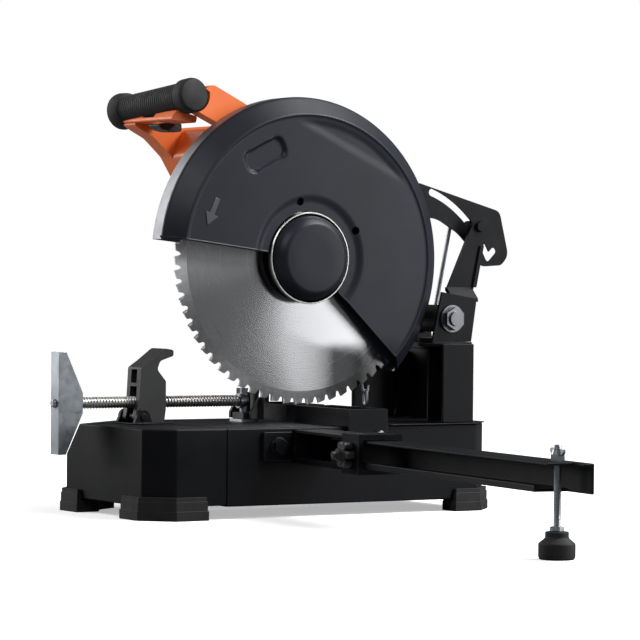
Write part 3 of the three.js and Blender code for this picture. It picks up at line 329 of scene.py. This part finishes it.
# ---------------------------------------------------------------- mesh helpers
def place(name, mesh, node=None, body=None, mat=None, smooth=True, bevel=0.0, replaces=True, segments=2,
          weighted=True):
    """One visual piece. It rides on the CAD node's body and, unless told otherwise, stands for it."""
    for poly in mesh.polygons:
        poly.use_smooth = smooth
    o = bpy.data.objects.new(name, mesh)
    bpy.context.scene.collection.objects.link(o)
    slot = SLOT[node] if node else None
    mesh.materials.clear()
    mesh.materials.append(mat or MAT[slot])
    if bevel:
        b = o.modifiers.new("bevel", "BEVEL")
        b.width = bevel / 1000
        b.segments = segments
        b.limit_method = "ANGLE"
        b.angle_limit = math.radians(28)
        b.use_clamp_overlap = True
        b.harden_normals = True
        if weighted:
            w = o.modifiers.new("normals", "WEIGHTED_NORMAL")
            w.keep_sharp = True
    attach(o, body or BODY[node])
    if node and replaces:
        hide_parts(node)
    return o


def soften(node, bevel, mat=None, segments=2, angle=1.5):
    """The CAD node's own shape with its edges rounded over."""
    mesh = bpy.data.meshes.new("vis_" + node)
    bm = bmesh.new()
    bm.from_mesh(frame["nodes"][node].data)
    bmesh.ops.remove_doubles(bm, verts=bm.verts, dist=1e-6)
    bmesh.ops.dissolve_limit(bm, angle_limit=math.radians(angle), verts=bm.verts, edges=bm.edges)
    for e in bm.edges:
        e.smooth = not (len(e.link_faces) == 2 and e.calc_face_angle(0) > math.radians(28))
    bm.to_mesh(mesh)
    bm.free()
    return place("vis_" + node, mesh, node, mat=mat, bevel=bevel, segments=segments)


def frame_axes(a, b):
    w = (b - a).normalized()
    u = w.orthogonal().normalized()
    return u, w.cross(u), w


def from_grid(name, rows, close_u=True, caps=True):
    """Rows of points joined into a sheet, closed round and capped at the ends when asked."""
    n = len(rows[0])
    verts = [p for row in rows for p in row]
    faces = []
    for i in range(len(rows) - 1):
        for j in range(n if close_u else n - 1):
            k = (j + 1) % n
            faces.append((i * n + j, i * n + k, (i + 1) * n + k, (i + 1) * n + j))
    if caps and close_u:
        faces.append(tuple(reversed(range(n))))
        faces.append(tuple(range((len(rows) - 1) * n, len(rows) * n)))
    mesh = bpy.data.meshes.new(name)
    mesh.from_pydata([tuple(v) for v in verts], [], faces)
    bm = bmesh.new()
    bm.from_mesh(mesh)
    bmesh.ops.recalc_face_normals(bm, faces=bm.faces)
    for e in bm.edges:
        e.smooth = not (len(e.link_faces) == 2 and e.calc_face_angle(0) > math.radians(34))
    bm.to_mesh(mesh)
    bm.free()
    return mesh


def lathe(name, a, b, profile, segs=64, wobble=None):
    """Revolved about the line a to b; profile holds (mm along, radius mm)."""
    u, v, w = frame_axes(a, b)
    rows = []
    for t, r in profile:
        row = []
        for k in range(segs):
            q = 2 * math.pi * k / segs
            rr = r + (wobble(t, q, r) if wobble else 0)
            row.append(a + w * (t / 1000) + (u * math.cos(q) + v * math.sin(q)) * (rr / 1000))
        rows.append(row)
    return from_grid(name, rows)


def thread(name, a, b, radius, root, pitch, step, segs=28, plain=()):
    """A threaded bar; plain lists (from, to) stretches without thread, in mm from a."""
    u, v, w = frame_axes(a, b)
    length = (b - a).length * 1000
    n = int(length / step)
    rows = []
    for i in range(n + 1):
        t = length * i / n
        row = []
        for k in range(segs):
            q = 2 * math.pi * k / segs
            phase = (t / pitch - k / segs) % 1.0
            tri = min(1.0, max(0.0, 1.6 * abs(phase - 0.5) * 2 - 0.3))
            r = root + (radius - root) * tri
            if any(s <= t <= e for s, e in plain):
                r = radius
            if i in (0, n):
                r = root
            row.append(a + w * (t / 1000) + (u * math.cos(q) + v * math.sin(q)) * (r / 1000))
        rows.append(row)
    return from_grid(name, rows)


def tube(name, points, radius, segs=12, closed=False):
    rows = []
    n = len(points)
    prev = None
    for i, p in enumerate(points):
        a = points[(i - 1) % n] if closed or i else points[0]
        b = points[(i + 1) % n] if closed or i < n - 1 else points[-1]
        w = (b - a).normalized()
        u = w.orthogonal().normalized() if prev is None else (prev - w * prev.dot(w)).normalized()
        prev = u
        v = w.cross(u)
        rows.append([p + (u * math.cos(q) + v * math.sin(q)) * radius
                     for q in (2 * math.pi * k / segs for k in range(segs))])
    if closed:
        rows.append(rows[0])
    return from_grid(name, rows, caps=not closed)


def slab(name, outline, depth, to3d):
    """A flat outline of (u, v) mm, extruded by depth mm; to3d(u, v, d) gives the place."""
    n = len(outline)
    verts = [to3d(u, v, 0) for u, v in outline] + [to3d(u, v, depth) for u, v in outline]
    faces = [tuple(reversed(range(n))), tuple(range(n, 2 * n))]
    faces += [(i, (i + 1) % n, n + (i + 1) % n, n + i) for i in range(n)]
    mesh = bpy.data.meshes.new(name)
    mesh.from_pydata([tuple(v) for v in verts], [], faces)
    bm = bmesh.new()
    bm.from_mesh(mesh)
    bmesh.ops.recalc_face_normals(bm, faces=bm.faces)
    for e in bm.edges:
        e.smooth = not (len(e.link_faces) == 2 and e.calc_face_angle(0) > math.radians(28))
    bm.to_mesh(mesh)
    bm.free()
    return mesh


def step(a, b, x):
    t = min(1.0, max(0.0, (x - a) / (b - a)))
    return t * t * (3 - 2 * t)


# ---------------------------------------------------------------- blade
TEETH = 66


def tooth_outline():
    """One ring of teeth: carbide tips with a positive hook, and round gullets."""
    tooth = [(177.4, 0.0), (176.9, 0.2), (176.3, 0.42), (175.6, 0.56), (173.0, 0.61), (170.4, 0.67),
             (169.5, 0.76), (170.0, 0.86), (172.2, 0.94), (175.0, 0.975)]
    pitch = 2 * math.pi / TEETH
    return [(r * math.cos((i + f) * pitch), r * math.sin((i + f) * pitch))
            for i in range(TEETH) for r, f in tooth]


def blade():
    outline = tooth_outline()
    bore = 12.9

    def ring(side, f):
        row = []
        for y, z in outline:
            r, q = math.hypot(y, z), math.atan2(z, y)
            rr = bore + (r - bore) * f
            row.append(Vector((side, rr * math.cos(q), rr * math.sin(q))) / 1000)
        return row

    steps = [0.0, 0.2, 0.45, 0.7, 0.93, 1.0]
    rows = [ring(-1.1, f) for f in steps] + [ring(1.1, f) for f in reversed(steps)]
    mesh = from_grid("vis_blade", rows + [rows[0]], caps=False)
    o = bpy.data.objects.new("vis_blade", mesh)
    bpy.context.scene.collection.objects.link(o)
    o.location = HUB
    mesh.materials.append(BLADE_MAT)
    for poly in mesh.polygons:
        poly.use_smooth = True
    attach(o, "blade")
    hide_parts("blade")
    tips = []
    pitch = 2 * math.pi / TEETH
    for i in range(TEETH):
        a = (i - 0.07) * pitch
        b = (i + 0.10) * pitch
        tips.append(slab_points([(177.45, b), (177.45, a + 0.06 * pitch), (172.0, a), (172.4, b)]))
    mesh = joined("vis_blade_tips", tips)
    piece = place("vis_blade_tips", mesh, None, body="blade", mat=TIP, smooth=False)


def slab_points(polar):
    """A small plate across the blade's thickness from four (radius, angle) corners."""
    yz = [(r * math.cos(q), r * math.sin(q)) for r, q in polar]
    verts = [P(s * 1.35, y, z) for s in (-1, 1) for y, z in yz]
    faces = [(3, 2, 1, 0), (4, 5, 6, 7)] + [(i, (i + 1) % 4, 4 + (i + 1) % 4, 4 + i) for i in range(4)]
    return verts, faces


def joined(name, parts):
    verts, faces = [], []
    for v, f in parts:
        base = len(verts)
        verts += [tuple(p) for p in v]
        faces += [tuple(base + i for i in face) for face in f]
    mesh = bpy.data.meshes.new(name)
    mesh.from_pydata(verts, [], faces)
    bm = bmesh.new()
    bm.from_mesh(mesh)
    bmesh.ops.recalc_face_normals(bm, faces=bm.faces)
    bm.to_mesh(mesh)
    bm.free()
    return mesh


# ---------------------------------------------------------------- guards
OPEN_FROM, OPEN_TO = 173.0, -43.5      # the guard's cut edges, in degrees about the hub


def pressed(y, z):
    """Depth in mm of the pressings in the guard's face at (y, z) from the hub."""
    r = math.hypot(y, z)
    if r > 169:
        return 0.0
    t = math.radians(26.5)
    dy, dz = y + 63, z - 123
    u = abs(dy * math.cos(t) + dz * math.sin(t))
    v = abs(-dy * math.sin(t) + dz * math.cos(t))
    qx, qy = max(u - 19, 0), max(v - 3, 0)
    edge = math.hypot(qx, qy) + min(max(u - 19, v - 3), 0) - 11
    pocket = 4.2 * (1 - step(-3.2, 0.8, edge))
    fold = 1.8 * step(-4, 8, 0.4195 * y + 0.908 * z - 143.9) * (1 - step(160, 169, r))
    ring = 2.6 * (1 - step(67, 77, r))
    return pocket + fold + ring


def guard_profile():
    face = [(19.2 - 0.9 * (r - 57) / 111, float(r)) for r in range(57, 169, 2)]
    bead = [(18.3, 169.5), (18.5, 170.6), (19.2, 171.6), (19.7, 172.6), (19.6, 173.6), (18.9, 174.6),
            (17.9, 175.6)]
    band = [(17.9 - 16.4 * k / 8, 175.6 + 17.7 * k / 8) for k in range(1, 9)]
    return face + bead + band + [(0.4, 194.2), (-1.0, 194.8), (-3.0, 195.0)]


def upper_guard():
    a0, a1 = math.radians(OPEN_TO), math.radians(OPEN_FROM)
    n = 420
    profile = guard_profile()

    def point(x, r, q):
        y, z = r * math.cos(q), r * math.sin(q)
        return P(x - pressed(y, z), y, z)

    rows = []
    for i in range(n + 1):
        q = a0 + (a1 - a0) * i / n
        front = [point(x, r, q) for x, r in profile]
        back = []
        for x, r in reversed(profile):
            k = 2.4
            if r > 194:
                back.append(point(x, r - k, q))
            elif r < 172:
                back.append(point(x - k, r, q))
            else:
                back.append(point(x - k * 0.75, r - k * 0.75, q))
        rows.append(front + back)
    mesh = from_grid("vis_upper_guard", rows, close_u=True, caps=True)
    cutters = []
    for y, z in ((-13, 68), (66, 34)):
        c = lathe("hole", P(0, y, z), P(40, y, z), [(0, 5), (40, 5)], 32)
        o = bpy.data.objects.new("hole", c)
        bpy.context.scene.collection.objects.link(o)
        cutters.append(o)
    o = place("vis_upper_guard", mesh, "upper_guard")
    for c in cutters:
        b = o.modifiers.new("hole", "BOOLEAN")
        b.operation = "DIFFERENCE"
        b.solver = "EXACT"
        b.object = c
    bpy.context.view_layer.update()
    dg = bpy.context.evaluated_depsgraph_get()
    done = bpy.data.meshes.new_from_object(o.evaluated_get(dg))
    o.modifiers.clear()
    o.data = done
    for c in cutters:
        bpy.data.objects.remove(c)
    arrow()
    edge_bead()


def arrow():
    """Raised direction mark on the guard's face; its paint is lighter than the guard's, a painted
    highlight standing in for the light its raised outline catches.
    """
    pts = [(-3.4, 17), (3.4, 17), (3.4, -3), (9.5, -3), (0, -18), (-9.5, -3), (-3.4, -3)]
    t = math.radians(-24)

    def at(u, v, d):
        y = -136 + u * math.cos(t) - v * math.sin(t)
        z = 54 + u * math.sin(t) + v * math.cos(t)
        return P(19.2 - 0.9 * (math.hypot(y, z) - 57) / 111 + d, y, z)

    outer = [(u * 1.0, v * 1.0) for u, v in pts]
    mesh = slab("vis_arrow", outer, 0.9, at)
    o = place("vis_arrow", mesh, None, body="head", mat=ARROW_PAINTED_HIGHLIGHT, bevel=0.5)


def edge_bead():
    """Rolled lip along the two cut edges of the guard."""
    for name, degrees in (("vis_lip_front", OPEN_FROM), ("vis_lip_rear", OPEN_TO)):
        q = math.radians(degrees)
        pts = []
        for x, r in guard_profile():
            y, z = r * math.cos(q), r * math.sin(q)
            pts.append(P(x - 1.0 - pressed(y, z), y, z))
        o = place(name, tube(name, pts, 0.0014, 10), None, body="head", mat=MAT["guard_paint"])


def hub_cap():
    profile = [(0, 49), (0, 52), (9.0, 52), (11.5, 51.7), (14.0, 51.0), (16.8, 50.0), (19.5, 48.6),
        (21.8, 46.9),
               (23.8, 45.0), (25.3, 43.2), (26.3, 41.8), (26.8, 40.6), (27.0, 39.0), (27.0, 20), (27.0, 3)]
    a = P(6.8, 0, 0)
    o = place("vis_hub_cap", lathe("vis_hub_cap", a, a + Vector((0.027, 0, 0)), profile, 96), "hub_cap")
    ring = [(0, 53.4), (0, 55.4), (2.6, 55.6), (3.3, 55.0), (3.3, 53.9), (2.6, 53.4), (0, 53.4)]
    a = P(17.0, 0, 0)
    lip = place("vis_hub_ring", lathe("vis_hub_ring", a, a + Vector((0.004, 0, 0)), ring, 120), None,
                body=BODY["upper_guard"], mat=MAT["steel"])
    return o


# ---------------------------------------------------------------- threads, chain and small metal
def vise_screw():
    a, b = P(-32, -300, -173), P(-32, -69.5, -173)
    mesh = thread("vis_vise_screw", a, b, 7.0, 5.6, 4.0, 0.5, 32, plain=[(0, 12)])
    place("vis_vise_screw", mesh, "vise_screw")


def foot_rod():
    low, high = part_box("foot_rod")
    c = (low + high) / 2
    a, b = Vector((c.x, c.y, low.z)), Vector((c.x, c.y, high.z))
    mesh = thread("vis_foot_rod", a, b, 4.0, 3.35, 1.5, 0.25, 24)
    place("vis_foot_rod", mesh, "foot_rod")
    nut = lathe("vis_foot_nut", a + Vector((0, 0, 0.0053)), a + Vector((0, 0, 0.01)),
                [(0, 6.6), (0.5, 7.4), (4.2, 7.4), (4.7, 6.6)], 6)
    o = place("vis_foot_nut", nut, None, body="levelling_foot", mat=MAT["zinc"], smooth=False)


def chain():
    for node in ("chain_link_upper", "chain_link_lower"):
        low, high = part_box(node)
        c = (low + high) / 2
        wide_x = (high.x - low.x) > (high.y - low.y)
        pts = []
        for k in range(40):
            q = 2 * math.pi * k / 40
            s = 0.0062 if math.sin(q) > 0 else -0.0062
            w, h = 0.0040 * math.cos(q), s * abs(math.sin(q)) ** 0.35 + 0.0025 * math.sin(q)
            pts.append(c + Vector((w if wide_x else 0, 0 if wide_x else w, h)))
        place("vis_" + node, tube("vis_" + node, pts, 0.00138, 12, closed=True), node)


def grip():
    near, far = P(-34, -138, 193), P(-176, -147, 180)
    length = (far - near).length * 1000
    profile = [(-0.08 * length, 15), (-0.08 * length + 1.2, 18.5), (-0.08 * length + 4.5, 20.6)]
    profile += [(t, 21) for t in (-5, 4, 7.6)]
    profile += [(8.6, 20.2), (9.4, 18.2)]
    t = 12.0
    while t < 0.9 * length:
        profile += [(t, 17.9), (t + 1.0, 17.9), (t + 1.4, 17.2), (t + 2.6, 17.2), (t + 3.0, 17.9)]
        t += 4.6
    profile += [(0.94 * length - 1, 18), (0.94 * length, 19.8), (0.97 * length, 21.5),
        (1.05 * length, 22.8),
                (1.065 * length, 22.4), (1.07 * length, 20.5)]
    mesh = lathe("vis_grip", near, far, profile, 72)
    place("vis_grip", mesh, "grip")


def motor():
    a, b = P(-94.3, 22, 26), P(-196, 22, 26)
    n = 28

    def ribs(t, q, r):
        if 22 < t < 92:
            f = step(22, 26, t) * (1 - step(88, 92, t))
            return f * 1.6 * (0.5 + 0.5 * math.tanh(6 * math.cos(n * q)))
        return 0.0

    profile = [(0, 50), (3, 50.9), (8, 51), (11, 50.3), (14, 48), (18, 46.2), (22, 46.0)]
    profile += [(22 + 2 * k, 45.6) for k in range(1, 36)]
    profile += [(96, 45), (99, 44.4), (101.5, 43)]
    place("vis_motor_housing", lathe("vis_motor_housing", a, b, profile, 336, ribs), "motor_housing")


camera()
studio()
blade()
upper_guard()
hub_cap()
vise_screw()
foot_rod()
chain()
grip()
motor()

BEVELS = {
    "base_shell": 2.2, "front_casing": 2.2, "foot_front_right": 2.4, "foot_front_left": 2.4,
    "foot_rear_right": 2.4,
    "foot_rear_left": 2.4, "deck_plate": 0.4, "tower": 1.0, "pedestal": 1.0, "pivot_bracket": 0.9,
    "pivot_bracket_left": 0.8, "pivot_bolt": 0.6, "cam_pin": 0.5, "chip_deflector": 0.7, "fence_left": 1.2,
    "fence_right": 1.2, "fence_bolt_left": 0.5, "fence_bolt_right": 0.5, "fence_strip": 0.4,
    "arm_mount": 0.8,
    "arm_mount_bolt": 0.5, "arm_sleeve": 1.1, "vise_mount": 0.5, "guard_back": 0.7, "gearbox": 2.0,
    "head_arm": 1.6,
    "stop_rod": 0.3, "motor_cap": 0.9, "brush_cap_front": 0.6, "brush_cap_rear": 0.6, "cord_inlet": 0.8,
    "handle_frame": 1.8, "chain_hook": 0.4, "trigger": 1.2, "lock_off_button": 0.7, "spindle_lock": 0.7,
    "inner_flange": 0.4, "outer_flange": 0.5, "arbor": 0.4, "lower_guard": 0.5, "cam_plate": 0.6,
    "vise_lever": 1.2,
    "vise_carriage": 0.5, "vise_jaw": 1.0, "vise_crank": 0.8, "crank_rivet": 0.6, "support_arm": 1.0,
    "arm_knob": 0.9, "foot_pad": 0.9, "wing_nut": 0.5,
}
for node, width in BEVELS.items():
    soften(node, width, REPAINT.get(node))
